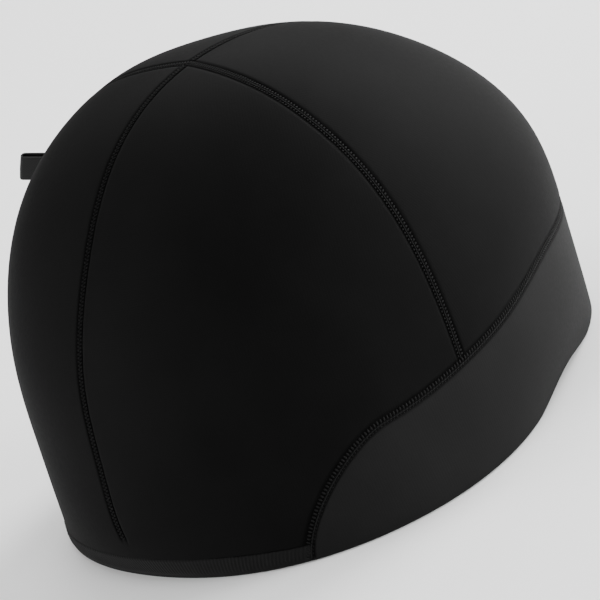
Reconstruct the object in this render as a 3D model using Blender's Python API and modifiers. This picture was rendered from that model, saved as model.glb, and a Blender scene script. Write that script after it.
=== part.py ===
# Running beanie: four crown panels, a doubled ear band, a nape binding and a hang loop.
# Metres, +Z up. The hem rests on z = 0, the forehead looks along -Y, and +X is the wearer's left.
# The origin lies under the middle of the hem opening.
# An azimuth is counted in degrees from the forehead, towards the wearer's left.

from collections import namedtuple

import bmesh
import bpy
import numpy as np
from mathutils import Vector

MM = 0.001

# Cloth and seams
PANEL_WALL = 1.2 * MM
BAND_WALL = 2.4 * MM
BINDING_WALL = 2.4 * MM
SEAM_GAP = 0.4 * MM
STEEPEST_GAP_FACTOR = 3.0

# The outside of the cap is given by its reach from a middle point inside the head, in millimetres.
# A row is an angle in degrees down from the seam crossing, and each column a direction round the head.
HEAD_MIDDLE = Vector((0.0, 1.2 * MM, 28.0 * MM))
Section = namedtuple("Section", "down forehead temple ear behind_ear nape")
SECTIONS = (
    Section(down=0, forehead=102.5, temple=102.5, ear=102.5, behind_ear=102.5, nape=102.5),
    Section(down=22, forehead=102.5, temple=102.5, ear=104.5, behind_ear=102.0, nape=100.0),
    Section(down=44, forehead=102.0, temple=99.0, ear=101.0, behind_ear=99.5, nape=93.5),
    Section(down=66, forehead=100.0, temple=95.5, ear=92.5, behind_ear=93.5, nape=91.0),
    Section(down=84, forehead=94.5, temple=87.0, ear=86.5, behind_ear=89.5, nape=90.0),
    Section(down=98, forehead=94.0, temple=84.5, ear=86.0, behind_ear=91.5, nape=92.5),
    Section(down=110, forehead=99.0, temple=83.5, ear=88.5, behind_ear=100.0, nape=91.0),
)
COLUMN_AZIMUTHS = (0, 45, 90, 135, 180)
WIDEST_DOWN = 90.0
HIGHEST_SEARCHED_DOWN = 30.0
LOWEST_SEARCHED_DOWN = 125.0
SEARCH_TOLERANCE = 0.001

# The seam from ear to ear, by its angle down from the crossing
SeamRow = namedtuple("SeamRow", "down azimuth")
EAR_SEAM = (
    SeamRow(down=0, azimuth=100.0),
    SeamRow(down=22, azimuth=98.0),
    SeamRow(down=44, azimuth=95.5),
    SeamRow(down=66, azimuth=96.0),
    SeamRow(down=88, azimuth=97.5),
)

# The top edge of the ear band, and the round corner where it runs down to the hem behind the ear
BandRow = namedtuple("BandRow", "azimuth height")
BAND_TOP = (
    BandRow(azimuth=0, height=40.5),
    BandRow(azimuth=20, height=40.5),
    BandRow(azimuth=38, height=41.0),
    BandRow(azimuth=50, height=42.4),
    BandRow(azimuth=60, height=42.8),
    BandRow(azimuth=72, height=40.8),
    BandRow(azimuth=84, height=37.8),
    BandRow(azimuth=96, height=35.4),
    BandRow(azimuth=108, height=33.0),
    BandRow(azimuth=120, height=31.4),
    BandRow(azimuth=142, height=28.3),
)
BAND_CORNER_START = 118.0
BAND_END = 140.5
BAND_CORNER_POWER = 1.6
RUN_PER_DEGREE = 1.5 * MM

# The nape binding is widest at the centre back.
BINDING_END_HEIGHT = 5.6 * MM
BINDING_MIDDLE_HEIGHT = 8.8 * MM
BINDING_JOINT_AZIMUTH = 138.5

# The hem lies flat on the floor but for a low arch in front of each ear.
HEM_ARCH_AZIMUTH = 60.0
HEM_ARCH_HEIGHT = 4.0 * MM
HEM_ARCH_SPREAD = 17.0
HEM_FLATTENED = 1.0 * MM
FLOOR_CUTTER_SIZE = 0.4
FLOOR_CUTTER_DEPTH = 0.05

# Hang loop: a folded tape in the left ear seam
LOOP_SEAM_DOWN = 47.0
LOOP_TAPE_WIDTH = 10.3 * MM
LOOP_TAPE_WALL = 0.9 * MM
LOOP_LENGTH = 15.2 * MM
LOOP_INNER_GAP = 0.6 * MM
LOOP_DIRECTION = Vector((0.77, 0.54, 0.28)).normalized()

# Mesh fineness
PANEL_CELLS = 20
HEM_SAMPLES = 400
BAND_COLUMNS = 96
BAND_ROWS = 6
BINDING_COLUMNS = 32
BINDING_ROWS = 2
LOOP_FOLD_STEPS = 6
LOOP_SIDE_STEPS = 6
LOOP_ROWS = 4

# Colours of the black jersey, linear, with roughness
JERSEY = ((0.010, 0.010, 0.011), 0.85)
BAND_JERSEY = ((0.012, 0.012, 0.013), 0.85)
ELASTIC = ((0.016, 0.016, 0.017), 0.80)
TAPE = ((0.030, 0.030, 0.032), 0.75)


def spline_bends(xs, ys):
    """Second derivatives of the spline through ys, level at its start and free at its end."""
    count = len(xs)
    steps = np.diff(xs)
    system = np.zeros((count, count))
    right = np.zeros((count, ys.shape[1]))
    system[0, 0] = 2 * steps[0]
    system[0, 1] = steps[0]
    right[0] = 6 * (ys[1] - ys[0]) / steps[0]
    for i in range(1, count - 1):
        system[i, i - 1] = steps[i - 1]
        system[i, i] = 2 * (steps[i - 1] + steps[i])
        system[i, i + 1] = steps[i]
        right[i] = 6 * ((ys[i + 1] - ys[i]) / steps[i] - (ys[i] - ys[i - 1]) / steps[i - 1])
    system[-1, -1] = 1
    return np.linalg.solve(system, right)


class Spline:
    """A smooth curve through a table's rows, for one or more columns."""

    def __init__(self, xs, ys):
        self.xs = np.array(xs, float)
        self.ys = np.array(ys, float).reshape(len(xs), -1)
        self.bends = spline_bends(self.xs, self.ys)

    def __call__(self, x):
        i = int(np.clip(np.searchsorted(self.xs, x) - 1, 0, len(self.xs) - 2))
        step = self.xs[i + 1] - self.xs[i]
        a = (self.xs[i + 1] - x) / step
        b = 1 - a
        curve = (a ** 3 - a) * self.bends[i] + (b ** 3 - b) * self.bends[i + 1]
        return a * self.ys[i] + b * self.ys[i + 1] + curve * step ** 2 / 6


def wave_columns(sections):
    """Each section's reach round the head as a sum of cosines of the azimuth."""
    waves = np.cos(np.outer(np.radians(COLUMN_AZIMUTHS), np.arange(len(COLUMN_AZIMUTHS))))
    reaches = np.array([section[1:] for section in sections]) * MM
    return np.linalg.solve(waves, reaches.T).T


reach_waves = Spline([section.down for section in SECTIONS], wave_columns(SECTIONS))
ear_seam = Spline([row.down for row in EAR_SEAM], [row.azimuth for row in EAR_SEAM])
band_top = Spline([row.azimuth for row in BAND_TOP], [row.height * MM for row in BAND_TOP])


def cap_point(azimuth, down):
    """A point on the outside of the cap."""
    turn, tilt = np.radians(azimuth), np.radians(down)
    reach = float(reach_waves(down) @ np.cos(turn * np.arange(len(COLUMN_AZIMUTHS))))
    direction = Vector((np.sin(tilt) * np.sin(turn), -np.sin(tilt) * np.cos(turn), np.cos(tilt)))
    return HEAD_MIDDLE + reach * direction


def down_at_height(azimuth, height):
    """The angle down from the crossing at which the cap is at this height above the hem."""
    upper, lower = HIGHEST_SEARCHED_DOWN, LOWEST_SEARCHED_DOWN
    while lower - upper > SEARCH_TOLERANCE:
        middle = (upper + lower) / 2
        if cap_point(azimuth, middle).z > height:
            upper = middle
        else:
            lower = middle
    return (upper + lower) / 2


def hem_height(azimuth):
    """Lower edge of the cloth before it is cut flat at the floor."""
    beside = (abs(azimuth) - HEM_ARCH_AZIMUTH) / HEM_ARCH_SPREAD
    return HEM_ARCH_HEIGHT * np.exp(-beside ** 2) - HEM_FLATTENED


def band_edge_height(azimuth):
    """Height of the ear band's upper edge, which falls to the hem at BAND_END."""
    corner = (abs(azimuth) - BAND_CORNER_START) / (BAND_END - BAND_CORNER_START)
    corner = min(max(corner, 0.0), 1.0)
    drop = (1 - corner ** BAND_CORNER_POWER) ** (1 / BAND_CORNER_POWER)
    return float(band_top(abs(azimuth))[0]) * drop


def band_edge_azimuth(height):
    """The azimuth at which the band's rear edge crosses this height."""
    near, far = BAND_CORNER_START, BAND_END
    while far - near > SEARCH_TOLERANCE:
        middle = (near + far) / 2
        if band_edge_height(middle) > height:
            near = middle
        else:
            far = middle
    return (near + far) / 2


def binding_height(azimuth):
    """Height of the nape binding's upper edge, which rises to the centre back."""
    from_middle = min((180 - abs(azimuth)) / (180 - BAND_END), 1.0)
    rise = BINDING_MIDDLE_HEIGHT - BINDING_END_HEIGHT
    return BINDING_END_HEIGHT + rise * np.cos(from_middle * np.pi / 2)


def edge_slope_factor(azimuth):
    """Vertical share of a gap that is measured square to the band's sloping edge."""
    span = 0.2
    rise = band_edge_height(azimuth + span) - band_edge_height(azimuth - span)
    run = (cap_point(azimuth + span, WIDEST_DOWN) - cap_point(azimuth - span, WIDEST_DOWN)).length
    return min(np.hypot(1.0, rise / run), STEEPEST_GAP_FACTOR)


def panel_hem_height(azimuth):
    """Lower edge of the crown panels: a seam gap above the band, or above the nape binding."""
    above_band = band_edge_height(azimuth) + SEAM_GAP * edge_slope_factor(azimuth)
    return max(above_band, binding_height(azimuth) + SEAM_GAP)


def even_steps(points, values, count):
    """Values at evenly spaced lengths along a line of points."""
    lengths = [0.0]
    for before, after in zip(points, points[1:]):
        lengths.append(lengths[-1] + (after - before).length)
    return np.interp(np.linspace(0, lengths[-1], count), lengths, values)


def panel_hem_azimuths(first, last):
    """Azimuths that divide a panel's hem evenly, from one seam to the other."""
    azimuths = np.linspace(first, last, HEM_SAMPLES)
    points = [cap_point(az, down_at_height(az, panel_hem_height(az))) for az in azimuths]
    return even_steps(points, azimuths, HEM_SAMPLES)


def grid_mesh(name, columns, rows, place):
    """A grid primitive whose points, counted 0 to 1 each way, are laid where place() says."""
    grid = bmesh.new()
    bmesh.ops.create_grid(grid, x_segments=columns, y_segments=rows, size=0.5)
    for vert in grid.verts:
        vert.co = place(vert.co.x + 0.5, vert.co.y + 0.5)
    grid.normal_update()
    outward = sum(face.normal.dot(face.calc_center_median() - HEAD_MIDDLE) for face in grid.faces)
    if outward < 0:
        bmesh.ops.reverse_faces(grid, faces=grid.faces)
    mesh = bpy.data.meshes.new(name)
    grid.to_mesh(mesh)
    grid.free()
    mesh.shade_smooth()
    return mesh


def make_material(name, look):
    """Cloth of one colour and roughness."""
    colour, roughness = look
    material = bpy.data.materials.new(name)
    material.use_nodes = True
    shader = material.node_tree.nodes["Principled BSDF"]
    shader.inputs["Base Color"].default_value = (*colour, 1.0)
    shader.inputs["Roughness"].default_value = roughness
    shader.inputs["Metallic"].default_value = 0.0
    return material


def add_shell(name, mesh, wall, look, collection):
    """A named cloth piece: the outer surface, thickened inwards."""
    piece = bpy.data.objects.new(name, mesh)
    collection.objects.link(piece)
    mesh.materials.append(make_material(name + "_cloth", look))
    solidify = piece.modifiers.new("Wall", "SOLIDIFY")
    solidify.thickness = wall
    solidify.offset = -1.0
    solidify.use_even_offset = True
    return piece


def trim_at_floor(piece, cutter):
    """Cuts a piece flat where it rests."""
    trim = piece.modifiers.new("Flat rest", "BOOLEAN")
    trim.operation = "DIFFERENCE"
    trim.object = cutter
    trim.solver = "EXACT"


def make_crown_panel(name, side, front, collection):
    """A quarter of the crown, between the middle seam, the ear seam and the hem."""
    middle_azimuth = 0.0 if front else 180.0
    seam_foot = EAR_SEAM[-1].azimuth
    hem_ear = float(ear_seam(down_at_height(seam_foot, panel_hem_height(seam_foot)))[0])
    hem_azimuths = panel_hem_azimuths(middle_azimuth, hem_ear)
    fractions = np.linspace(0, 1, HEM_SAMPLES)
    set_off = Vector((side, -1.0 if front else 1.0, 0.0)) * SEAM_GAP / 2

    def place(u, v):
        # A square becomes a quarter disc whose corner is the seam crossing.
        along = u * np.sqrt(1 - v * v / 2)
        across = v * np.sqrt(1 - u * u / 2)
        out = np.hypot(along, across)
        share = np.arctan2(across, along) / (np.pi / 2)
        hem_azimuth = np.interp(share, fractions, hem_azimuths)
        down = out * down_at_height(hem_azimuth, panel_hem_height(hem_azimuth))
        seam_azimuth = middle_azimuth + share * (float(ear_seam(down)[0]) - middle_azimuth)
        azimuth = seam_azimuth + (hem_azimuth - seam_azimuth) * out ** 2
        return cap_point(side * azimuth, down) + set_off

    mesh = grid_mesh(name, PANEL_CELLS, PANEL_CELLS, place)
    return add_shell(name, mesh, PANEL_WALL, JERSEY, collection)


def make_ear_band(collection, cutter):
    """The doubled band over the forehead and both ears, down to the hem behind each ear."""
    azimuths = np.linspace(0, BAND_END, HEM_SAMPLES)
    edge = [Vector((az * RUN_PER_DEGREE, 0, band_edge_height(az))) for az in azimuths]
    half = even_steps(edge, azimuths, BAND_COLUMNS // 2 + 1)[:-1]
    stops = np.concatenate([-half[::-1], half[1:]])
    places = np.linspace(0, 1, len(stops))

    def place(u, v):
        azimuth = np.interp(u, places, stops)
        hem = hem_height(azimuth)
        height = hem + v * (band_edge_height(azimuth) - hem)
        return cap_point(azimuth, down_at_height(azimuth, height))

    mesh = grid_mesh("ear_band", len(stops) - 1, BAND_ROWS, place)
    band = add_shell("ear_band", mesh, BAND_WALL, BAND_JERSEY, collection)
    trim_at_floor(band, cutter)
    return band


def make_nape_binding(collection, cutter):
    """The elastic strip along the nape, between the two ends of the band."""
    reach = cap_point(BAND_END, WIDEST_DOWN).xy.length
    gap = np.degrees(SEAM_GAP * edge_slope_factor(BINDING_JOINT_AZIMUTH) / reach)

    def place(u, v):
        nominal = binding_height(BAND_END + u * (360 - 2 * BAND_END))
        start = band_edge_azimuth(v * nominal) + gap
        azimuth = start + u * (360 - 2 * start)
        top = binding_height(180 - abs(180 - azimuth))
        height = -HEM_FLATTENED + v * (top + HEM_FLATTENED)
        return cap_point(azimuth, down_at_height(azimuth, height))

    mesh = grid_mesh("nape_binding", BINDING_COLUMNS, BINDING_ROWS, place)
    binding = add_shell("nape_binding", mesh, BINDING_WALL, ELASTIC, collection)
    trim_at_floor(binding, cutter)
    return binding


def make_hang_loop(collection):
    """A tape folded double, standing out of the left ear seam."""
    seam_azimuth = float(ear_seam(LOOP_SEAM_DOWN)[0])
    base = cap_point(seam_azimuth, LOOP_SEAM_DOWN)
    half_angle = np.degrees(LOOP_TAPE_WIDTH / 2 / (base - HEAD_MIDDLE).length)
    seam_run = cap_point(seam_azimuth, LOOP_SEAM_DOWN + half_angle) - base
    round_run = cap_point(seam_azimuth + half_angle, LOOP_SEAM_DOWN) - base
    outward = seam_run.cross(round_run).normalized()
    layer_side = LOOP_DIRECTION.cross(seam_run).normalized()
    slant = layer_side.dot(outward)
    fold_radius = (LOOP_INNER_GAP + LOOP_TAPE_WALL) / 2
    fold_start = LOOP_LENGTH - fold_radius - LOOP_TAPE_WALL / 2

    def leg(aside):
        """One layer's middle line, which starts just clear of the sloping cloth."""
        clear = SEAM_GAP + LOOP_TAPE_WALL / 2 * abs(slant)
        foot = (clear - aside * slant) / LOOP_DIRECTION.dot(outward)
        return [(out, aside) for out in np.linspace(foot, fold_start, LOOP_SIDE_STEPS + 1)[:-1]]

    turns = np.linspace(0, np.pi, LOOP_FOLD_STEPS + 1)
    fold = [(fold_start + fold_radius * np.sin(t), fold_radius * np.cos(t)) for t in turns]
    line = leg(fold_radius) + fold + leg(-fold_radius)[::-1]

    def place(u, v):
        down = LOOP_SEAM_DOWN + (2 * v - 1) * half_angle
        out, aside = line[round(u * (len(line) - 1))]
        return cap_point(seam_azimuth, down) + LOOP_DIRECTION * out + layer_side * aside

    mesh = grid_mesh("hang_loop", len(line) - 1, LOOP_ROWS, place)
    loop = add_shell("hang_loop", mesh, LOOP_TAPE_WALL, TAPE, collection)
    loop.modifiers["Wall"].offset = 0.0
    return loop


def make_floor_cutter(collection):
    """A block below the floor, which trims the hem flat."""
    bpy.ops.mesh.primitive_cube_add(size=1, location=(0, 0, -FLOOR_CUTTER_DEPTH / 2))
    cutter = bpy.context.object
    cutter.name = "floor_cutter"
    cutter.scale = (FLOOR_CUTTER_SIZE, FLOOR_CUTTER_SIZE, FLOOR_CUTTER_DEPTH)
    bpy.ops.object.transform_apply(location=False, rotation=False, scale=True)
    cutter.hide_render = True
    cutter.display_type = "WIRE"
    for owner in list(cutter.users_collection):
        owner.objects.unlink(cutter)
    collection.objects.link(cutter)
    return cutter


def make_collection(name):
    """A collection in the scene."""
    collection = bpy.data.collections.new(name)
    bpy.context.scene.collection.children.link(collection)
    return collection


def main():
    for old in list(bpy.data.objects):
        bpy.data.objects.remove(old, do_unlink=True)
    beanie = make_collection("running_beanie")
    cutters = make_collection("cutters")
    floor_cutter = make_floor_cutter(cutters)
    for side, side_name in ((1, "left"), (-1, "right")):
        make_crown_panel("crown_panel_front_" + side_name, side, True, beanie)
        make_crown_panel("crown_panel_back_" + side_name, side, False, beanie)
    make_ear_band(beanie, floor_cutter)
    make_nape_binding(beanie, floor_cutter)
    make_hang_loop(beanie)


main()
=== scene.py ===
# Running beanie in black stretch jersey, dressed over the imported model.
# Metres, +Z up. The forehead looks along -Y and +X is the wearer's left.
# An azimuth is counted in degrees from the forehead towards the wearer's left,
# and down is the angle from the seam crossing on top.

import bpy
import numpy as np
from mathutils import Matrix, Vector
from mathutils.kdtree import KDTree


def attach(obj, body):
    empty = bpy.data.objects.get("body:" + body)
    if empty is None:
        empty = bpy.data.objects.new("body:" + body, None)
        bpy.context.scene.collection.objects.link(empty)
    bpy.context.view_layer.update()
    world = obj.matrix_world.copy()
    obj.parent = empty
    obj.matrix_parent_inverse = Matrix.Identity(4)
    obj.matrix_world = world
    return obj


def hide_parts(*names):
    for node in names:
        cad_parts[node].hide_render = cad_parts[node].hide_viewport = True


mm = 0.001

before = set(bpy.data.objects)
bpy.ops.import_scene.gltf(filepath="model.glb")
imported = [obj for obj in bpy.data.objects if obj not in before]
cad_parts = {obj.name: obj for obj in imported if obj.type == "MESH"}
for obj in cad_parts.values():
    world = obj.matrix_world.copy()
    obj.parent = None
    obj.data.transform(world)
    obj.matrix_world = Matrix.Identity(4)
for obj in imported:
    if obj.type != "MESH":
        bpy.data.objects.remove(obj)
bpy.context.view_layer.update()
print("frame loaded, nodes:", ", ".join(sorted(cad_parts)))


# Camera

cameraSettings = {
    "azimuth": 235.0,  # degrees, 0 looks along +Y
    "elevation": 20.267,
    "roll": -23.196,
    "distance": 2078.6 * mm,
    "focalPixels": 6742.06,
    "pictureWidth": 600,
    "sensorWidth": 36.0,
    "lookAt": (0.0, -3.8 * mm, 64.0 * mm),
    "lookRight": 6.063 * mm,
    "lookUp": -17.565 * mm,
}


def cameraAxes(settings):
    turn, tilt, roll = np.radians([settings["azimuth"], settings["elevation"], settings["roll"]])
    back = Vector((np.sin(turn) * np.cos(tilt), -np.cos(turn) * np.cos(tilt), np.sin(tilt)))
    level = Vector((np.cos(turn), np.sin(turn), 0.0))
    upright = back.cross(level)
    right = level * np.cos(roll) + upright * np.sin(roll)
    up = upright * np.cos(roll) - level * np.sin(roll)
    return right, up, back


def addCamera(settings):
    right, up, back = cameraAxes(settings)
    target = Vector(settings["lookAt"])
    target += right * settings["lookRight"] + up * settings["lookUp"]
    data = bpy.data.cameras.new("camera")
    data.sensor_width = settings["sensorWidth"]
    data.lens = settings["focalPixels"] / settings["pictureWidth"] * settings["sensorWidth"]
    camera = bpy.data.objects.new("camera", data)
    bpy.context.scene.collection.objects.link(camera)
    turned = Matrix((right, up, back)).transposed().to_4x4()
    camera.matrix_world = Matrix.Translation(target + back * settings["distance"]) @ turned
    bpy.context.scene.camera = camera


addCamera(cameraSettings)
print("camera placed")


# The cap's outside, from its reach out of a middle point inside the head

headMiddle = np.array([0.0, 1.2, 28.0]) * mm
waveCount = 5
sectionAzimuths = (0, 45, 90, 135, 180)
sectionReach = {  # degrees down: reach in mm at those azimuths
    0: (102.5, 102.5, 102.5, 102.5, 102.5),
    22: (102.5, 102.5, 104.5, 102.0, 100.0),
    44: (102.0, 99.0, 101.0, 99.5, 93.5),
    66: (100.0, 95.5, 92.5, 93.5, 91.0),
    84: (94.5, 87.0, 86.5, 89.5, 90.0),
    98: (94.0, 84.5, 86.0, 91.5, 92.5),
    110: (99.0, 83.5, 88.5, 100.0, 91.0),
}
earSeamAzimuth = {0: 100.0, 22: 98.0, 44: 95.5, 66: 96.0, 88: 97.5}  # by degrees down
bandTopHeight = {  # degrees from the forehead: mm
    0: 40.5, 20: 40.5, 38: 41.0, 50: 42.4, 60: 42.8, 72: 40.8, 84: 37.8, 96: 35.4, 108: 33.0, 120: 31.4,
    142: 28.3}

shape = {
    "panelWall": 1.2 * mm,
    "bandWall": 2.4 * mm,
    "bindingWall": 2.4 * mm,
    "bandCornerStart": 118.0,
    "bandEnd": 140.5,
    "bandCornerPower": 1.6,
    "bindingEndHeight": 5.6 * mm,
    "bindingMiddleHeight": 8.8 * mm,
    "hemArchAzimuth": 60.0,
    "hemArchHeight": 4.0 * mm,
    "hemArchSpread": 17.0,
    "hemArchTrim": 1.0 * mm,
    "joint": 0.04 * mm,  # bare gap between two sewn edges
    "stripLeast": 0.3 * mm,  # least height of the band above its fold
    "hemReach": 88 * mm,
    "earSeamHemAzimuth": 97.5,
}
# between these degrees down, a height is searched by halving the span again and again
searchSettings = {"highest": 30.0, "lowest": 125.0, "heightHalvings": 22, "cornerHalvings": 20}


def curveThrough(table):
    # smooth through the rows, level at its start and free at its end
    xs = np.array(sorted(table), float)
    ys = np.array([table[key] for key in sorted(table)], float).reshape(len(xs), -1)
    steps = np.diff(xs)
    system, right = np.zeros((len(xs), len(xs))), np.zeros(ys.shape)
    system[0, :2] = 2 * steps[0], steps[0]
    right[0] = 6 * (ys[1] - ys[0]) / steps[0]
    for i in range(1, len(xs) - 1):
        system[i, i - 1:i + 2] = steps[i - 1], 2 * (steps[i - 1] + steps[i]), steps[i]
        right[i] = 6 * ((ys[i + 1] - ys[i]) / steps[i] - (ys[i] - ys[i - 1]) / steps[i - 1])
    system[-1, -1] = 1
    bends = np.linalg.solve(system, right)

    def at(x):
        x = np.asarray(x, float)
        i = np.clip(np.searchsorted(xs, x) - 1, 0, len(xs) - 2)
        step = steps[i][..., None]
        a = (xs[i + 1] - x)[..., None] / step
        b = 1 - a
        return a * ys[i] + b * ys[i + 1] + ((a**3 - a) * bends[i] + (b**3 - b) * bends[i + 1]) * step**2 / 6

    return at


sectionWaves = np.cos(np.outer(np.radians(sectionAzimuths), np.arange(waveCount)))
reachWaves = curveThrough({down: np.linalg.solve(sectionWaves, np.array(row) * mm)
                           for down, row in sectionReach.items()})
earSeamCurve = curveThrough(earSeamAzimuth)
bandTopCurve = curveThrough(bandTopHeight)


def capPoints(azimuth, down):
    azimuth, down = np.broadcast_arrays(np.asarray(azimuth, float), np.asarray(down, float))
    turn, tilt = np.radians(azimuth), np.radians(down)
    reach = (reachWaves(down) * np.cos(turn[..., None] * np.arange(waveCount))).sum(axis=-1)
    ray = np.stack([np.sin(tilt) * np.sin(turn), -np.sin(tilt) * np.cos(turn), np.cos(tilt)], axis=-1)
    return headMiddle + reach[..., None] * ray


def capNormals(points):
    # from four neighbours a small step away, which also works at the top
    ray = points - headMiddle
    ray = ray / np.linalg.norm(ray, axis=-1, keepdims=True)
    helper = np.where(np.abs(ray[..., 2:]) < 0.8, np.array([0.0, 0.0, 1.0]), np.array([1.0, 0.0, 0.0]))
    first = np.cross(ray, helper)
    first /= np.linalg.norm(first, axis=-1, keepdims=True)
    second = np.cross(ray, first)

    def shifted(step):
        moved = ray + step
        moved = moved / np.linalg.norm(moved, axis=-1, keepdims=True)
        down = np.degrees(np.arccos(np.clip(moved[..., 2], -1, 1)))
        return capPoints(np.degrees(np.arctan2(moved[..., 0], -moved[..., 1])), down)

    small = 0.004
    normal = np.cross(shifted(small * first) - shifted(-small * first),
                      shifted(small * second) - shifted(-small * second))
    normal /= np.linalg.norm(normal, axis=-1, keepdims=True)
    return normal * np.sign((normal * ray).sum(axis=-1, keepdims=True))


def downAtHeight(azimuth, height):
    azimuth, height = np.broadcast_arrays(np.asarray(azimuth, float), np.asarray(height, float))
    upper = np.full(azimuth.shape, searchSettings["highest"])
    lower = np.full(azimuth.shape, searchSettings["lowest"])
    for _ in range(searchSettings["heightHalvings"]):
        middle = (upper + lower) / 2
        above = capPoints(azimuth, middle)[..., 2] > height
        upper, lower = np.where(above, middle, upper), np.where(above, lower, middle)
    return (upper + lower) / 2


def bandEdgeHeight(azimuth):
    azimuth = np.abs(np.asarray(azimuth, float))
    cornerSpan = shape["bandEnd"] - shape["bandCornerStart"]
    corner = np.clip((azimuth - shape["bandCornerStart"]) / cornerSpan, 0, 1)
    power = shape["bandCornerPower"]
    return bandTopCurve(azimuth)[..., 0] * mm * (1 - corner**power) ** (1 / power)


def bindingHeight(azimuth):
    fromMiddle = np.minimum((180 - np.abs(np.asarray(azimuth, float))) / (180 - shape["bandEnd"]), 1.0)
    rise = shape["bindingMiddleHeight"] - shape["bindingEndHeight"]
    return shape["bindingEndHeight"] + rise * np.cos(fromMiddle * np.pi / 2)


def hemHeight(azimuth):
    beside = (np.abs(np.asarray(azimuth, float)) - shape["hemArchAzimuth"]) / shape["hemArchSpread"]
    return np.maximum(shape["hemArchHeight"] * np.exp(-beside**2) - shape["hemArchTrim"], 0.0)


def lengthsAlong(points):
    return np.concatenate([[0.0], np.cumsum(np.linalg.norm(np.diff(points, axis=0), axis=1))])


def evenly(points, values, count):
    # values at evenly spaced lengths along a line of points
    lengths = lengthsAlong(points)
    return np.interp(np.linspace(0, lengths[-1], count), lengths, values)


# Seam lines on the outside, as dense rows of points

seamSamples = 2400
earSeamLowest = 92  # degrees down, below the band's top edge
degreeLength = 1.5 * mm  # along the hem
napeSeamAboveBinding = 7.0 * mm


def alongBandEdge(end, count):
    # azimuths at even lengths along the top edge of the band
    azimuth = np.linspace(-end, end, seamSamples)
    edge = np.stack([azimuth * degreeLength, azimuth * 0, bandEdgeHeight(azimuth)], axis=-1)
    return evenly(edge, azimuth, count)


def middleSeamLine(startDown, endDown, azimuth):
    return capPoints(azimuth, np.linspace(startDown, endDown, seamSamples))


def earSeamLine(side):
    down = np.linspace(0, earSeamLowest, seamSamples)
    azimuth = side * earSeamCurve(down)[..., 0]
    points = capPoints(azimuth, down)
    return points[points[:, 2] > bandEdgeHeight(azimuth)]


def bandSeamLine():
    azimuth = alongBandEdge(shape["bandEnd"], seamSamples)
    return capPoints(azimuth, downAtHeight(azimuth, bandEdgeHeight(azimuth)))


frontDown = float(downAtHeight(0.0, bandEdgeHeight(0.0)))
napeDown = float(downAtHeight(180.0, shape["bindingMiddleHeight"] + napeSeamAboveBinding))
seamLines = {
    "front": middleSeamLine(0, frontDown, 0.0),
    "back": middleSeamLine(0, napeDown, 180.0),
    "earLeft": earSeamLine(1),
    "earRight": earSeamLine(-1),
    "band": bandSeamLine(),
}
for seamName, line in seamLines.items():
    print("seam", seamName, round(lengthsAlong(line)[-1] / mm, 1), "mm")


def treeOf(points):
    tree = KDTree(len(points))
    for i, point in enumerate(points):
        tree.insert(point, i)
    tree.balance()
    return tree


seamTrees = {seamName: treeOf(line) for seamName, line in seamLines.items()}
seamLengths = {seamName: lengthsAlong(line) for seamName, line in seamLines.items()}


# Across each seam, in mm: its stitched strip, the groove on one side, the row of needle holes on the other,
# and how much painted shade darkens the cloth there. The side is that of the groove, seen along the line.
middleSeamForm = {"stripMiddle": 0.0, "stripHalf": 1.15, "groovePlace": 1.35, "grooveWidth": 0.4,
                  "groove": 0.45, "holes": 0.25, "shade": 0.75}
earSeamForm = {"stripMiddle": 0.0, "stripHalf": 1.2, "groovePlace": 1.4, "grooveWidth": 0.4,
               "groove": 0.4, "holes": 0.25, "shade": 0.7}
bandSeamForm = {"stripMiddle": 0.1, "stripHalf": 1.35, "groovePlace": 1.75, "grooveWidth": 0.5,
                "groove": 0.25, "holes": 0.12, "shade": 0.6}
seamForm = {
    "front": {**middleSeamForm, "side": 1},
    "back": {**middleSeamForm, "side": -1},
    "earLeft": {**earSeamForm, "side": -1},
    "earRight": {**earSeamForm, "side": 1},
    "band": {**bandSeamForm, "side": -1},
}
seamDepth = {  # how deep the cloth is drawn in, how its edges fade, and the small waves beside the thread
    "strip": 0.3 * mm,
    "holesWidth": 0.35,  # mm, as are the two fades
    "stripFade": 0.25,
    "endFade": 0.4,
    "pucker": 0.025 * mm,
    "puckerReach": 4.5 * mm,
    "shortWave": 2.9 * mm,
    "longWave": 7.3 * mm,
    "longShare": 0.6,
    "longStart": 1.0,
}


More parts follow.
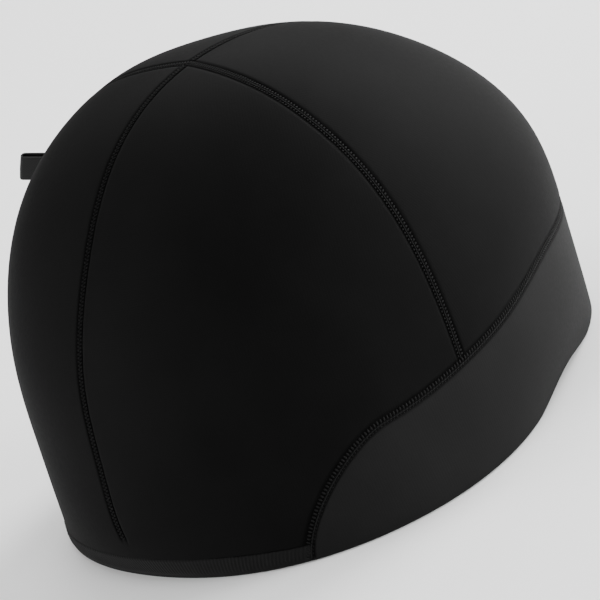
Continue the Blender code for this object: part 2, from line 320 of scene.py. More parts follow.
def seamRelief(points):
    # how far the cloth is drawn in at each point, and how much painted shade darkens it there
    sunk, near = np.zeros(len(points)), np.zeros(len(points))
    outward = capNormals(points)
    for seamName, tree in seamTrees.items():
        line, form = seamLines[seamName], seamForm[seamName]
        found = [tree.find(point) for point in points]
        index = np.array([hit[1] for hit in found])
        away = np.array([hit[2] for hit in found])
        ahead = line[np.minimum(index + 1, len(line) - 1)] - line[np.maximum(index - 1, 0)]
        beside = np.cross(ahead, outward) * form["side"]
        beside /= np.linalg.norm(beside, axis=1, keepdims=True)
        across = ((points - line[index]) * beside).sum(axis=1)
        beyond = np.sqrt(np.maximum(away**2 - across**2, 0.0)) / mm
        inLine = np.exp(-(beyond / seamDepth["endFade"]) ** 2)
        across /= mm
        fromEdge = form["stripHalf"] - np.abs(across - form["stripMiddle"])
        strip = np.clip(fromEdge / seamDepth["stripFade"] + 0.5, 0, 1) * inLine
        groove = np.exp(-((across - form["groovePlace"]) / form["grooveWidth"]) ** 2) * inLine
        holesPlace = form["stripMiddle"] - form["stripHalf"]
        holes = np.exp(-((across - holesPlace) / seamDepth["holesWidth"]) ** 2) * inLine
        along = seamLengths[seamName][index]
        wave = (np.sin(along / seamDepth["shortWave"] * 2 * np.pi)
                + seamDepth["longShare"]
                * np.sin(along / seamDepth["longWave"] * 2 * np.pi + seamDepth["longStart"]))
        pucker = seamDepth["pucker"] * wave * np.exp(-(away / seamDepth["puckerReach"]) ** 2)
        drawnIn = seamDepth["strip"] * strip + (form["groove"] * groove + form["holes"] * holes) * mm
        sunk = np.maximum(sunk, drawnIn) + pucker
        # painted shade: the strip, groove and needle holes are darkened in colour for the shadow that falls
        # in them
        near = np.maximum(near, form["shade"] * np.maximum.reduce([strip, groove, holes]))
    return sunk, near


# Helpers for mesh pieces


def deselectAll():
    for other in bpy.context.selected_objects:
        other.select_set(False)


def selectOnly(piece):
    deselectAll()
    bpy.context.view_layer.objects.active = piece
    piece.select_set(True)


def addGrid(name, columns, rows):
    deselectAll()
    bpy.ops.mesh.primitive_grid_add(x_subdivisions=columns, y_subdivisions=rows, size=1,
                                    location=(0, 0, 0))
    piece = bpy.context.object
    piece.name = piece.data.name = name
    return piece


def gridPlaces(piece, columns, rows):
    # the column and row of each point of a grid
    coordinates = np.empty(len(piece.data.vertices) * 3)
    piece.data.vertices.foreach_get("co", coordinates)
    coordinates = coordinates.reshape(-1, 3)
    column = np.rint((coordinates[:, 0] + 0.5) * columns).astype(int)
    row = np.rint((coordinates[:, 1] + 0.5) * rows).astype(int)
    return column, row


def setPoints(piece, points):
    piece.data.vertices.foreach_set("co", np.asarray(points, float).reshape(-1))
    piece.data.update()


def setFlat(piece, flat):
    # UV in metres, so that a knit keeps its real size
    loops = np.empty(len(piece.data.loops), int)
    piece.data.loops.foreach_get("vertex_index", loops)
    piece.data.uv_layers[0].name = "cloth"
    piece.data.uv_layers[0].data.foreach_set("uv", flat[loops].reshape(-1))


def setPaintedShade(piece, near):
    # stores how much painted shade darkens each point, for the materials
    shade = piece.data.attributes.new("seamPaintedShade", "FLOAT", "POINT")
    shade.data.foreach_set("value", near)


def faceOutward(piece):
    total = 0.0
    for face in piece.data.polygons:
        total += face.normal.dot(face.center - Vector(headMiddle)) * face.area
    if total < 0:
        selectOnly(piece)
        bpy.ops.object.mode_set(mode="EDIT")
        bpy.ops.mesh.select_all(action="SELECT")
        bpy.ops.mesh.flip_normals()
        bpy.ops.object.mode_set(mode="OBJECT")


def applyModifier(piece, kind, **settings):
    selectOnly(piece)
    modifier = piece.modifiers.new(kind.title(), kind)
    for key, value in settings.items():
        setattr(modifier, key, value)
    bpy.ops.object.modifier_apply(modifier=modifier.name)


smoothAngle = 40


def smooth(piece):
    selectOnly(piece)
    bpy.ops.object.shade_smooth_by_angle(angle=np.radians(smoothAngle))


def cover(piece, material):
    piece.data.materials.clear()
    piece.data.materials.append(material)


def gradedStops(length, fine, coarse, growth):
    # places from 0 to 1, close together at both ends
    steps, step = [], fine
    while sum(steps) < length / 2:
        steps.append(step)
        step = min(step * growth, coarse)
    half = np.concatenate([[0.0], np.cumsum(steps)])
    half = half / half[-1] * 0.5
    return np.concatenate([half, 1 - half[-2::-1]])


# Materials


def colour(code):
    # sRGB hex to linear
    parts = np.array([int(code[i:i + 2], 16) for i in (1, 3, 5)]) / 255
    linear = np.where(parts <= 0.04045, parts / 12.92, ((parts + 0.055) / 1.055) ** 2.4)
    return (*linear.tolist(), 1.0)


def addNode(tree, kind, values=None, links=None, **settings):
    node = tree.nodes.new(kind)
    for key, value in settings.items():
        setattr(node, key, value)
    for socket, value in (values or {}).items():
        node.inputs[socket].default_value = value
    for socket, source in (links or {}).items():
        tree.links.new(source, node.inputs[socket])
    return node


def newMaterial(name, values):
    material = bpy.data.materials.new(name)
    material.use_nodes = True
    shader = material.node_tree.nodes["Principled BSDF"]
    for socket, value in values.items():
        shader.inputs[socket].default_value = value
    return material, material.node_tree, shader


jerseySettings = {
    "dark": "#070707",
    "light": "#0b0b0b",
    # black for the painted shade in the seams
    "paintedShadeColour": "#000000",
    "gloss": 0.032,
    "sheen": 0.018,
    "wale": 0.85 * mm,  # real wales are 0.45 mm, drawn wider so that they show
    "course": 0.70 * mm,  # real courses are 0.4 mm, likewise
    "courseLean": 2.2,
    "courseShare": 0.35,
    "loopRelief": 0.02 * mm,
    "fuzz": 1.3 * mm,
    "fuzzShare": 0.45,
    "fuzzRelief": 0.04 * mm,
    "fade": 26 * mm,
    "toneFrom": 0.45,
    "toneTo": 1.0,
    "smoothest": 0.62,
    "roughest": 0.84,
    "seamRoughness": 0.35,
}


def stretchJersey(name, settings):
    # Polyester and elastane jersey, knitted fine and brushed: dull black, pale only at grazing angles
    material, tree, shader = newMaterial(name, {
        "Metallic": 0.0, "IOR": 1.5, "Specular IOR Level": settings["gloss"],
        "Sheen Weight": settings["sheen"], "Sheen Roughness": 0.5, "Sheen Tint": colour("#cccccc")})
    uv = addNode(tree, "ShaderNodeUVMap", uv_map="cloth")
    split = addNode(tree, "ShaderNodeSeparateXYZ", links={"Vector": uv.outputs["UV"]})
    waleTurn = addNode(tree, "ShaderNodeMath", operation="MULTIPLY", values={1: np.pi / settings["wale"]},
                       links={0: split.outputs["X"]})
    waleWave = addNode(tree, "ShaderNodeMath", operation="SINE", links={0: waleTurn.outputs[0]})
    waleRound = addNode(tree, "ShaderNodeMath", operation="ABSOLUTE", links={0: waleWave.outputs[0]})
    courseTurn = addNode(tree, "ShaderNodeMath", operation="MULTIPLY",
                         values={1: 2 * np.pi / settings["course"]}, links={0: split.outputs["Y"]})
    courseLean = addNode(tree, "ShaderNodeMath", operation="MULTIPLY_ADD", values={1: settings["courseLean"]},
                         links={0: waleRound.outputs[0], 2: courseTurn.outputs[0]})
    courseWave = addNode(tree, "ShaderNodeMath", operation="SINE", links={0: courseLean.outputs[0]})
    loops = addNode(tree, "ShaderNodeMath", operation="MULTIPLY_ADD", values={1: settings["courseShare"]},
                    links={0: courseWave.outputs[0], 2: waleRound.outputs[0]})
    place = addNode(tree, "ShaderNodeTexCoord")
    fuzz = addNode(tree, "ShaderNodeTexNoise", links={"Vector": place.outputs["Object"]},
                   values={"Scale": 1 / settings["fuzz"], "Detail": 3.0, "Roughness": 0.6})
    fade = addNode(tree, "ShaderNodeTexNoise", links={"Vector": place.outputs["Object"]},
                   values={"Scale": 1 / settings["fade"], "Detail": 4.0, "Roughness": 0.55})
    tone = addNode(tree, "ShaderNodeMath", operation="MULTIPLY_ADD", values={1: settings["fuzzShare"]},
                   links={0: fuzz.outputs["Fac"], 2: fade.outputs["Fac"]})
    spread = addNode(tree, "ShaderNodeMapRange", links={"Value": tone.outputs[0]},
                     values={"From Min": settings["toneFrom"], "From Max": settings["toneTo"]})
    cloth = addNode(tree, "ShaderNodeMix", data_type="RGBA", links={"Factor": spread.outputs[0]},
                    values={"A": colour(settings["dark"]), "B": colour(settings["light"])})
    # painted shade: the cloth is mixed towards black in the seams' strips, grooves and needle holes, for the
    # shadow there
    near = addNode(tree, "ShaderNodeAttribute", attribute_name="seamPaintedShade")
    paintedShadeMix = addNode(tree, "ShaderNodeMix", data_type="RGBA", values={"B": colour(settings["paintedShadeColour"])},
                     links={"Factor": near.outputs["Fac"], "A": cloth.outputs["Result"]})
    tree.links.new(paintedShadeMix.outputs["Result"], shader.inputs["Base Color"])
    rough = addNode(tree, "ShaderNodeMapRange", links={"Value": fuzz.outputs["Fac"]},
                    values={"To Min": settings["smoothest"], "To Max": settings["roughest"]})
    creased = addNode(tree, "ShaderNodeMath", operation="MULTIPLY_ADD", use_clamp=True,
                      values={1: settings["seamRoughness"]},
                      links={0: near.outputs["Fac"], 2: rough.outputs[0]})
    tree.links.new(creased.outputs[0], shader.inputs["Roughness"])
    knit = addNode(tree, "ShaderNodeBump", links={"Height": loops.outputs[0]},
                   values={"Strength": 0.5, "Distance": settings["loopRelief"]})
    grain = addNode(tree, "ShaderNodeBump", links={"Height": fuzz.outputs["Fac"], "Normal": knit.outputs[0]},
                    values={"Strength": 0.6, "Distance": settings["fuzzRelief"]})
    tree.links.new(grain.outputs[0], shader.inputs["Normal"])
    return material


needleThreadSettings = {"dark": "#070707", "light": "#0f0f0f", "twist": 0.45 * mm, "relief": 0.04 * mm}
looperThreadSettings = {**needleThreadSettings, "dark": "#0d0d0d", "light": "#191919"}


def sewingThread(name, settings):
    # Twisted polyester thread: a little glossier than the cloth, so each stitch catches the light.
    # The needle thread is the darker one, and the looper thread is fluffed up and paler.
    material, tree, shader = newMaterial(name, {
        "Metallic": 0.0, "Roughness": 0.6, "IOR": 1.5, "Specular IOR Level": 0.05,
        "Sheen Weight": 0.01, "Sheen Roughness": 0.4})
    place = addNode(tree, "ShaderNodeTexCoord")
    strands = addNode(tree, "ShaderNodeTexNoise", links={"Vector": place.outputs["Object"]},
                      values={"Scale": 1 / settings["twist"], "Detail": 2.0})
    mixed = addNode(tree, "ShaderNodeMix", data_type="RGBA", links={"Factor": strands.outputs["Fac"]},
                    values={"A": colour(settings["dark"]), "B": colour(settings["light"])})
    tree.links.new(mixed.outputs["Result"], shader.inputs["Base Color"])
    bump = addNode(tree, "ShaderNodeBump", links={"Height": strands.outputs["Fac"]},
                   values={"Strength": 0.4, "Distance": settings["relief"]})
    tree.links.new(bump.outputs[0], shader.inputs["Normal"])
    return material


# the black is painted shade along the binding's top edge
elasticSettings = {"dark": "#0c0c0c", "light": "#151515", "paintedShadeColour": "#000000", "course": 0.55 * mm,
                   "courseShare": 0.5, "fuzz": 0.9 * mm, "relief": 0.04 * mm}


def knittedElastic(name, settings):
    # Knitted elastic braid: fine ribs across its length, a shade paler than the jersey
    material, tree, shader = newMaterial(name, {
        "Metallic": 0.0, "Roughness": 0.7, "IOR": 1.5, "Specular IOR Level": 0.06,
        "Sheen Weight": 0.04, "Sheen Roughness": 0.4})
    uv = addNode(tree, "ShaderNodeUVMap", uv_map="cloth")
    split = addNode(tree, "ShaderNodeSeparateXYZ", links={"Vector": uv.outputs["UV"]})
    turn = addNode(tree, "ShaderNodeMath", operation="MULTIPLY", values={1: 2 * np.pi / settings["course"]},
                   links={0: split.outputs["Y"]})
    wave = addNode(tree, "ShaderNodeMath", operation="SINE", links={0: turn.outputs[0]})
    place = addNode(tree, "ShaderNodeTexCoord")
    fuzz = addNode(tree, "ShaderNodeTexNoise", links={"Vector": place.outputs["Object"]},
                   values={"Scale": 1 / settings["fuzz"], "Detail": 3.0})
    height = addNode(tree, "ShaderNodeMath", operation="MULTIPLY_ADD", values={1: settings["courseShare"]},
                     links={0: wave.outputs[0], 2: fuzz.outputs["Fac"]})
    mixed = addNode(tree, "ShaderNodeMix", data_type="RGBA", links={"Factor": fuzz.outputs["Fac"]},
                    values={"A": colour(settings["dark"]), "B": colour(settings["light"])})
    # painted shade: the elastic is mixed towards black along its top edge, for the shadow there
    near = addNode(tree, "ShaderNodeAttribute", attribute_name="seamPaintedShade")
    paintedShadeMix = addNode(tree, "ShaderNodeMix", data_type="RGBA", values={"B": colour(settings["paintedShadeColour"])},
                     links={"Factor": near.outputs["Fac"], "A": mixed.outputs["Result"]})
    tree.links.new(paintedShadeMix.outputs["Result"], shader.inputs["Base Color"])
    bump = addNode(tree, "ShaderNodeBump", links={"Height": height.outputs[0]},
                   values={"Strength": 0.6, "Distance": settings["relief"]})
    tree.links.new(bump.outputs[0], shader.inputs["Normal"])
    return material


# real threads of such a tape are 0.25 mm apart, drawn coarser so that the weave shows
tapeSettings = {"dark": "#1c1c1c", "light": "#2a2a2a", "thread": 0.5 * mm, "relief": 0.04 * mm}


def wovenTape(name, settings):
    # Narrow woven polyester tape, plain weave: crisper and paler than the jersey
    material, tree, shader = newMaterial(name, {
        "Metallic": 0.0, "Roughness": 0.6, "IOR": 1.5, "Specular IOR Level": 0.08,
        "Sheen Weight": 0.04, "Sheen Roughness": 0.4})
    uv = addNode(tree, "ShaderNodeUVMap", uv_map="cloth")
    scaled = addNode(tree, "ShaderNodeMapping", links={"Vector": uv.outputs["UV"]},
                     values={"Scale": (1 / settings["thread"], 1 / settings["thread"], 1)})
    checks = addNode(tree, "ShaderNodeTexChecker", links={"Vector": scaled.outputs[0]},
                     values={"Scale": 1.0})
    mixed = addNode(tree, "ShaderNodeMix", data_type="RGBA", links={"Factor": checks.outputs["Fac"]},
                    values={"A": colour(settings["dark"]), "B": colour(settings["light"])})
    tree.links.new(mixed.outputs["Result"], shader.inputs["Base Color"])
    bump = addNode(tree, "ShaderNodeBump", links={"Height": checks.outputs["Fac"]},
                   values={"Strength": 0.5, "Distance": settings["relief"]})
    tree.links.new(bump.outputs[0], shader.inputs["Normal"])
    return material


bandJerseySettings = {**jerseySettings, "dark": "#141414", "light": "#191919", "gloss": 0.04, "sheen": 0.014}
jersey = stretchJersey("brushedStretchJersey", jerseySettings)
bandJersey = stretchJersey("doubledStretchJersey", bandJerseySettings)
needleThread = sewingThread("polyesterNeedleThread", needleThreadSettings)
looperThread = sewingThread("texturedLooperThread", looperThreadSettings)
elastic = knittedElastic("knittedElasticBraid", elasticSettings)
tape = wovenTape("wovenPolyesterTape", tapeSettings)
print("materials made")


# Crown panels

panelSettings = {"fineStep": 0.34 * mm, "coarseStep": 1.5 * mm, "growth": 1.16, "sideLength": 118 * mm,
                 "hemSamples": 1200, "frontMiddle": 45.0, "backMiddle": 137.0, "flatReach": 90 * mm}


def panelHemHeight(azimuth):
    return np.maximum(bandEdgeHeight(azimuth), bindingHeight(azimuth)) + shape["joint"]


def makePanel(name, node, side, front):
    settings = panelSettings
    stops = gradedStops(settings["sideLength"], settings["fineStep"], settings["coarseStep"],
                        settings["growth"])
    count = len(stops) - 1
    piece = addGrid(name, count, count)
    column, row = gridPlaces(piece, count, count)
    u, v = stops[column], stops[row]
    middleAzimuth = 0.0 if front else 180.0
    nearEar = shape["earSeamHemAzimuth"]
    earAzimuth = float(earSeamCurve(downAtHeight(nearEar, panelHemHeight(nearEar)))[..., 0])
    azimuths = np.linspace(middleAzimuth, earAzimuth, settings["hemSamples"])
    hemLine = capPoints(azimuths, downAtHeight(azimuths, panelHemHeight(azimuths)))
    azimuths = evenly(hemLine, azimuths, settings["hemSamples"])
    # a square becomes a quarter disc whose corner is the seam crossing
    along, across = u * np.sqrt(1 - v * v / 2), v * np.sqrt(1 - u * u / 2)
    out = np.hypot(along, across)
    share = np.arctan2(across, along) / (np.pi / 2)
    hemAzimuth = np.interp(share, np.linspace(0, 1, settings["hemSamples"]), azimuths)
    down = out * downAtHeight(hemAzimuth, panelHemHeight(hemAzimuth))
    seamAzimuth = middleAzimuth + share * (earSeamCurve(down)[..., 0] - middleAzimuth)
    azimuth = side * (seamAzimuth + (hemAzimuth - seamAzimuth) * out**2)
    points = capPoints(azimuth, down)
    points[:, 0] += side * shape["joint"] / 2
    points[:, 1] += (-1 if front else 1) * shape["joint"] / 2
    sunk, near = seamRelief(points)
    points = points - capNormals(points) * sunk[:, None]
    setPoints(piece, points)
    fromMiddle = azimuth - side * settings["frontMiddle" if front else "backMiddle"]
    reach = settings["flatReach"]
    flat = np.stack([np.radians(fromMiddle) * reach * np.sin(np.radians(down)),
                     np.radians(down) * reach], axis=-1)
    setFlat(piece, flat)
    setPaintedShade(piece, near)
    faceOutward(piece)
    applyModifier(piece, "SOLIDIFY", thickness=shape["panelWall"], offset=-1.0, use_even_offset=False)
    smooth(piece)
    cover(piece, jersey)
    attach(piece, "root")
    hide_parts(node)


for side, sideName in ((1, "left"), (-1, "right")):
    makePanel("front_" + sideName + "_crown_cloth", "crown_panel_front_" + sideName, side, True)
    makePanel("back_" + sideName + "_crown_cloth", "crown_panel_back_" + sideName, side, False)
    print("crown panels", sideName)


# Ear band and nape binding: a cross-section that goes round the folded hem

bandSettings = {"columns": 470, "outsideRows": 34, "foldRows": 9, "insideRows": 12, "topShare": 1.7,
                "endGap": 0.15}


def foldedStrip(name, azimuthAt, wall, settings, relief):
    # columns follow the hem, rows go down the outside, round the fold and up the inside
    outside, fold, inside = settings["outsideRows"], settings["foldRows"], settings["insideRows"]
    rows = outside + fold + inside
    columns = settings["columns"]
    piece = addGrid(name, columns, rows)
    column, row = gridPlaces(piece, columns, rows)
    radius = wall / 2
    # height above the hem as a share of the way from the fold to the top edge
    downOutside = (np.arange(outside + 1) / outside) ** settings["topShare"]
    upInside = np.arange(inside + 1) / inside
    position = column / columns
    outer = row <= outside
    inner = row >= outside + fold
    bend = ~outer & ~inner
    share = np.zeros(len(row))
    share[outer] = downOutside[row[outer]]
    share[inner] = 1 - upInside[row[inner] - outside - fold]
    share[bend] = 1.0
    azimuth, top = azimuthAt(position, share)
    hem = hemHeight(azimuth)
    foldHeight = hem + radius
    topEdge = np.maximum(top, foldHeight + shape["stripLeast"])
    height = topEdge + share * (foldHeight - topEdge)
    points = capPoints(azimuth, downAtHeight(azimuth, height))
    normals = capNormals(points)
    angle = np.zeros(len(row))
    angle[bend] = (row[bend] - outside) / fold * np.pi
    level = normals * np.array([1.0, 1.0, 0.0])
    level /= np.linalg.norm(level, axis=-1, keepdims=True)
    depth = np.where(inner, wall, 0.0)
    # the fold is half a circle between the two layers
    depth[bend] = radius * (1 - np.cos(angle[bend]))
    points = points - level * depth[:, None]
    points[:, 2] -= np.where(bend, radius * np.sin(angle), 0.0)
    sunk, near = relief(points, position, share, outer)
    points = points - normals * sunk[:, None]
    setPoints(piece, points)
    flat = np.stack([np.radians(azimuth) * shape["hemReach"], height], axis=-1)
    setFlat(piece, flat)
    setPaintedShade(piece, near)
    faceOutward(piece)
    return piece, row


bandStops = alongBandEdge(shape["bandEnd"] - bandSettings["endGap"], bandSettings["columns"] + 1)


def bandAzimuthAt(position, share):
    azimuth = np.interp(position, np.linspace(0, 1, len(bandStops)), bandStops)
    return azimuth, bandEdgeHeight(azimuth)


def bandRelief(points, position, share, outer):
    sunk, near = seamRelief(points)
    return np.where(outer, sunk, 0.0), np.where(outer, near, 0.0)


band, bandRows = foldedStrip("ear_band_cloth", bandAzimuthAt, shape["bandWall"], bandSettings, bandRelief)
print("ear band", len(band.data.vertices))

bindingSettings = {"columns": 520, "outsideRows": 14, "foldRows": 8, "insideRows": 8, "topShare": 1.3,
                   "endGap": 0.1 * mm, "length": 94 * mm, "ribPitch": 0.93 * mm, "ribRelief": 0.07 * mm,
                   "proud": 0.25 * mm, "topRound": 0.7 * mm, "topDrop": 0.65 * mm, "foldFade": 1.6 * mm}


def bandEdgeAzimuth(height):
    # where the end of the band comes down to this height
    height = np.asarray(height, float)
    near, far = np.full(height.shape, shape["bandCornerStart"]), np.full(height.shape, shape["bandEnd"])
    for _ in range(searchSettings["cornerHalvings"]):
        middle = (near + far) / 2
        above = bandEdgeHeight(middle) > height
        near, far = np.where(above, middle, near), np.where(above, far, middle)
    return (near + far) / 2


def bindingAzimuthAt(position, share):
    nominal = bindingHeight(shape["bandEnd"] + position * (360 - 2 * shape["bandEnd"]))
    height = nominal * (1 - share) + shape["bindingWall"] / 2 * share
    start = bandEdgeAzimuth(height) + np.degrees(bindingSettings["endGap"] / shape["hemReach"])
    azimuth = start + position * (360 - 2 * start)
    return azimuth, bindingHeight(180 - np.abs(180 - azimuth))


def bindingRelief(points, position, share, outer):
    # ribs stand proud of the cloth; the top edge is rounded and the fold stays on the floor
    settings = bindingSettings
    ribs = np.cos(position * settings["length"] / settings["ribPitch"] * 2 * np.pi)
    tall = shape["bindingMiddleHeight"] - shape["bindingWall"] / 2
    fromTop, toFold = share * tall, (1 - share) * tall
    rounded = np.clip(1 - fromTop / settings["topRound"], 0, 1) ** 2 * settings["topDrop"]
    kept = np.clip(toFold / settings["foldFade"], 0, 1)
    sunk = rounded - (settings["proud"] + settings["ribRelief"] * ribs) * kept
    # painted shade: darkest at the rounded top edge, where the crease against the crown lies in shadow
    near = np.clip(1 - fromTop / settings["topRound"], 0, 1)
    return np.where(outer, sunk, 0.0), np.where(outer, near, 0.0)


binding, bindingRows = foldedStrip("nape_binding_elastic", bindingAzimuthAt, shape["bindingWall"],
                                   bindingSettings, bindingRelief)
print("nape binding", len(binding.data.vertices))


def closeTop(piece, rows):
    # bridges the two long edges of the strip, then caps its two ends
    selectOnly(piece)
    bpy.ops.object.mode_set(mode="EDIT")
    bpy.ops.mesh.select_mode(type="EDGE")
    bpy.ops.mesh.select_all(action="DESELECT")
    bpy.ops.object.mode_set(mode="OBJECT")
    for edge in piece.data.edges:
        a, b = edge.vertices
        if (rows[a] == 0 and rows[b] == 0) or (rows[a] == rows.max() and rows[b] == rows.max()):
            edge.select = True
    bpy.ops.object.mode_set(mode="EDIT")
    bpy.ops.mesh.bridge_edge_loops()
    bpy.ops.mesh.select_all(action="DESELECT")
    bpy.ops.mesh.select_non_manifold()
    bpy.ops.mesh.edge_face_add()
    bpy.ops.object.mode_set(mode="OBJECT")


for piece, rows, node, material, slot in (
        (band, bandRows, "ear_band", bandJersey, "band_jersey"),
        (binding, bindingRows, "nape_binding", elastic, "elastic_binding")):
    closeTop(piece, rows)
    smooth(piece)
    cover(piece, material)
    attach(piece, "root")
    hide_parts(node)


# Stitching

stitchSettings = {
    "pitch": 1.15 * mm,
    # across towards the grooved side, length, width, height, turned off the seam in mm and degrees,
    # and the place along as a share of the pitch
    "fishbone": (
        (-0.60, 1.05, 0.66, 0.30, 68, 0.0),
        (0.60, 1.05, 0.66, 0.30, -68, 0.25),
        (0.00, 1.00, 0.34, 0.44, 0, 0.6)),
    "ribbon": (
        (0.86, 0.66, 0.66, 0.30, -80, 0.25),
        (-0.64, 0.98, 0.70, 0.26, 78, 0.0),
        (0.18, 1.34, 0.46, 0.54, 0, 0.6)),
    "edging": (
        (0.70, 1.40, 0.64, 0.32, 86, 0.0),
        (-0.98, 0.46, 0.50, 0.30, 70, 0.4),
        (-0.38, 1.36, 0.54, 0.54, 0, 0.5)),
    "sink": 0.26 * mm,
    "sinkOnBinding": -0.22 * mm,
    "firstPlace": 0.25,
    "lookAhead": 1.0 * mm,
    "fromCrossing": 1.6 * mm,
    "aboveFloor": 1.1 * mm,
}


def threadLump(length, width, height):
    # one run of thread that dips into the cloth at both ends
    deselectAll()
    bpy.ops.mesh.primitive_uv_sphere_add(segments=6, ring_count=5, radius=0.5, location=(0, 0, 0))
    lump = bpy.context.object
    bpy.ops.object.mode_set(mode="EDIT")
    bpy.ops.mesh.select_all(action="SELECT")
    bpy.ops.transform.rotate(value=np.pi / 2, orient_axis="Y", center_override=(0, 0, 0))
    bpy.ops.transform.resize(value=(length, width, height))
    bpy.ops.object.mode_set(mode="OBJECT")
    # a new sphere's points and faces come in any order, so they are put in the same one each time
    points = np.array([vert.co[:] for vert in lump.data.vertices])
    order = np.lexsort(points.T)
    rank = np.argsort(order).tolist()
    faces = [tuple(rank[i] for i in face.vertices) for face in lump.data.polygons]
    bpy.data.objects.remove(lump)
    return points[order], sorted(faces, key=sorted)


def stitchUnit(rows):
    points, faces, count = [], [], 0
    for across, length, width, height, turned, along in rows:
        lump, lumpFaces = threadLump(length * mm, width * mm, height * mm)
        angle = np.radians(turned)
        x = lump[:, 0] * np.cos(angle) - lump[:, 1] * np.sin(angle) + along * stitchSettings["pitch"]
        y = lump[:, 0] * np.sin(angle) + lump[:, 1] * np.cos(angle) + across * mm
        points.append(np.stack([x, y, lump[:, 2]], axis=-1))
        faces += [tuple(i + count for i in face) for face in lumpFaces]
        count += len(lump)
    return np.concatenate(points), faces


def sewAlong(name, lines, unit, grooveSide, thread):
    # lays the unit at each pitch along dense lines of points
    unitPoints, unitFaces = unit
    allPoints, allFaces, count = [], [], 0
    for line in lines:
        lengths = lengthsAlong(line)
        stitches = int(lengths[-1] / stitchSettings["pitch"])
        stations = (np.arange(stitches) + stitchSettings["firstPlace"]) * lengths[-1] / stitches

        def at(distance):
            return np.array([np.interp(distance, lengths, line[:, axis]) for axis in range(3)])

        for station in stations:
            middle = at(station)
            reach = stitchSettings["lookAhead"]
            ahead = at(min(station + reach, lengths[-1])) - at(max(station - reach, 0.0))
            ahead /= np.linalg.norm(ahead)
            outward = capNormals(middle[None, :])[0]
            beside = np.cross(ahead, outward) * grooveSide
            beside /= np.linalg.norm(beside)
            # where the seam crosses the binding its thread lies on the ribs
            overBinding = middle[2] < shape["bindingEndHeight"]
            sink = stitchSettings["sinkOnBinding" if overBinding else "sink"]
            laid = (middle - outward * sink + unitPoints[:, :1] * ahead
                    + unitPoints[:, 1:2] * beside + unitPoints[:, 2:] * outward)
            allPoints.append(laid)
            allFaces += [tuple(i + count for i in face) for face in unitFaces]
            count += len(unitPoints)
    mesh = bpy.data.meshes.new(name)
    mesh.from_pydata(np.concatenate(allPoints).tolist(), [], allFaces)
    piece = bpy.data.objects.new(name, mesh)
    bpy.context.scene.collection.objects.link(piece)
    selectOnly(piece)
    bpy.ops.object.mode_set(mode="EDIT")
    bpy.ops.mesh.select_all(action="SELECT")
    bpy.ops.mesh.normals_make_consistent(inside=False)
    bpy.ops.object.mode_set(mode="OBJECT")
    bpy.ops.object.shade_smooth()
    mesh.materials.append(thread)
    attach(piece, "root")
    print("stitches", name, len(allPoints))


def trimmed(line, fromStart, fromEnd):
    lengths = lengthsAlong(line)
    return line[(lengths >= fromStart) & (lengths <= lengths[-1] - fromEnd)]


fishbone, ribbon, edging = [stitchUnit(stitchSettings[kind]) for kind in ("fishbone", "ribbon", "edging")]
crossing, floorEnd = stitchSettings["fromCrossing"], stitchSettings["aboveFloor"]
# the ear seam runs over the top in one piece, from the left ear to the right
overTop = np.concatenate([trimmed(seamLines["earLeft"], 0, crossing)[::-1],
                          trimmed(seamLines["earRight"], 0, crossing)[1:]])
frontRun = trimmed(seamLines["front"], crossing, crossing)[::-1]
backRun = trimmed(seamLines["back"], crossing, 0)
bandRun = trimmed(seamLines["band"], floorEnd, floorEnd)
sewAlong("middle_seam_stitches", [frontRun, backRun], fishbone, -1, needleThread)
sewAlong("ear_seam_stitches", [overTop], ribbon, 1, looperThread)
sewAlong("band_seam_stitches", [bandRun], edging, -1, looperThread)


# Hang loop

loopSettings = {
    "seamDown": 47.0,
    "width": 9.3 * mm,
    "wall": 0.6 * mm,
    "length": 15.6 * mm,
    "innerGap": 1.4 * mm,
    "direction": (0.77, 0.54, 0.28),
    "footDepth": 0.2 * mm,
    "edgeRound": 0.22 * mm,
    "edgeAngle": 50,
    "acrossCells": 14,
    "legCells": 16,
    "foldCells": 16,
}


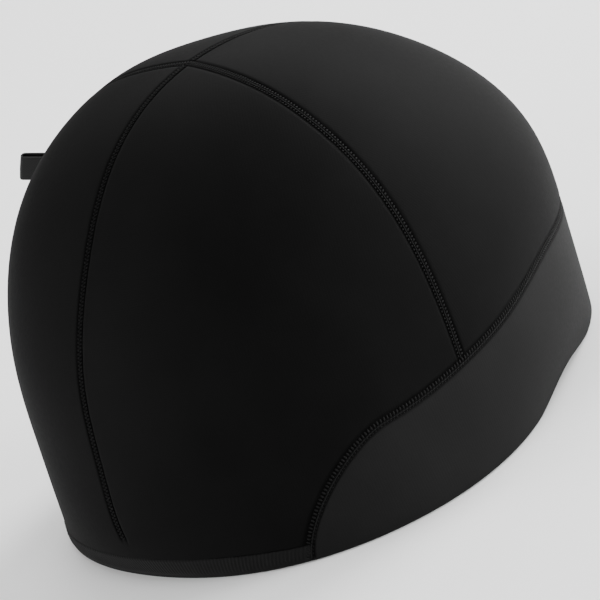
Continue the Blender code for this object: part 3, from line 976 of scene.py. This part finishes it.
def makeLoop(settings):
    seamAzimuth = float(earSeamCurve(settings["seamDown"])[..., 0])
    base = capPoints(seamAzimuth, settings["seamDown"])
    halfAngle = np.degrees(settings["width"] / 2 / np.linalg.norm(base - headMiddle))
    seamRun = capPoints(seamAzimuth, settings["seamDown"] + halfAngle) - base
    outward = capNormals(base[None, :])[0]
    direction = np.array(settings["direction"])
    direction /= np.linalg.norm(direction)
    layerSide = np.cross(direction, seamRun)
    layerSide /= np.linalg.norm(layerSide)
    radius = (settings["innerGap"] + settings["wall"]) / 2
    foldStart = settings["length"] - radius - settings["wall"] / 2

    def leg(aside):
        foot = -aside * layerSide.dot(outward) / direction.dot(outward) - settings["footDepth"]
        return [(out, aside) for out in np.linspace(foot, foldStart, settings["legCells"] + 1)[:-1]]

    turns = np.linspace(0, np.pi, settings["foldCells"] + 1)
    fold = [(foldStart + radius * np.sin(t), radius * np.cos(t)) for t in turns]
    line = np.array(leg(radius) + fold + leg(-radius)[::-1])
    columns, rows = len(line) - 1, settings["acrossCells"]
    piece = addGrid("hang_loop_tape", columns, rows)
    column, row = gridPlaces(piece, columns, rows)
    down = settings["seamDown"] + (2 * row / rows - 1) * halfAngle
    points = capPoints(seamAzimuth, down) + direction * line[column, :1] + layerSide * line[column, 1:]
    setPoints(piece, points)
    lengths = lengthsAlong(np.column_stack([line, np.zeros(len(line))]))
    setFlat(piece, np.stack([lengths[column], row / rows * settings["width"]], axis=-1))
    applyModifier(piece, "SOLIDIFY", thickness=settings["wall"], offset=0.0, use_even_offset=True)
    applyModifier(piece, "BEVEL", width=settings["edgeRound"], segments=2, limit_method="ANGLE",
                  angle_limit=np.radians(settings["edgeAngle"]))
    smooth(piece)
    cover(piece, tape)
    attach(piece, "root")
    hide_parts("hang_loop")


makeLoop(loopSettings)
print("hang loop")


# Floor and light

stageSettings = {
    "floorSize": 16.0,
    "floor": "#fafafa",
    "world": "#ffffff",
    "worldStrength": 0.1,
}


def addStage(settings):
    deselectAll()
    bpy.ops.mesh.primitive_plane_add(size=settings["floorSize"], location=(0, 0, 0))
    floor = bpy.context.object
    floor.name = "floor"
    # Matte white backdrop paper: pale and without reflections
    paper = newMaterial("matteWhitePaper", {
        "Base Color": colour(settings["floor"]), "Roughness": 0.9, "Specular IOR Level": 0.1})[0]
    floor.data.materials.append(paper)
    world = bpy.data.worlds.new("studio")
    world.use_nodes = True
    background = world.node_tree.nodes["Background"]
    background.inputs["Color"].default_value = colour(settings["world"])
    background.inputs["Strength"].default_value = settings["worldStrength"]
    bpy.context.scene.world = world


lightPlace = {"distance": 1.5, "aim": (0.0, 0.0, 0.06)}
lights = {  # azimuth and elevation in degrees, size in metres, watts
    "frontLow": (0, 12, 0.8, 12.5),
    "frontHigh": (0, 40, 0.8, 24.0),
    "frontRight": (315, 12, 0.8, 35.0),
    "right": (260, 12, 0.8, 9.5),
    "back": (180, 12, 0.8, 9.5),
    "backLeft": (135, 20, 0.8, 13.0),
    "frontLeft": (45, 40, 0.8, 8.5),
    "overhead": (0, 90, 1.2, 13.5),
}


def addLights(settings, place):
    for name, (azimuth, elevation, size, watts) in settings.items():
        turn, tilt = np.radians([azimuth, elevation])
        away = Vector((np.sin(turn) * np.cos(tilt), -np.cos(turn) * np.cos(tilt), np.sin(tilt)))
        data = bpy.data.lights.new(name, "AREA")
        data.shape, data.size, data.energy = "DISK", size, watts
        light = bpy.data.objects.new(name, data)
        light.location = Vector(place["aim"]) + away * place["distance"]
        light.rotation_euler = away.to_track_quat("Z", "Y").to_euler()
        bpy.context.scene.collection.objects.link(light)


addStage(stageSettings)
addLights(lights, lightPlace)
print("floor and light")
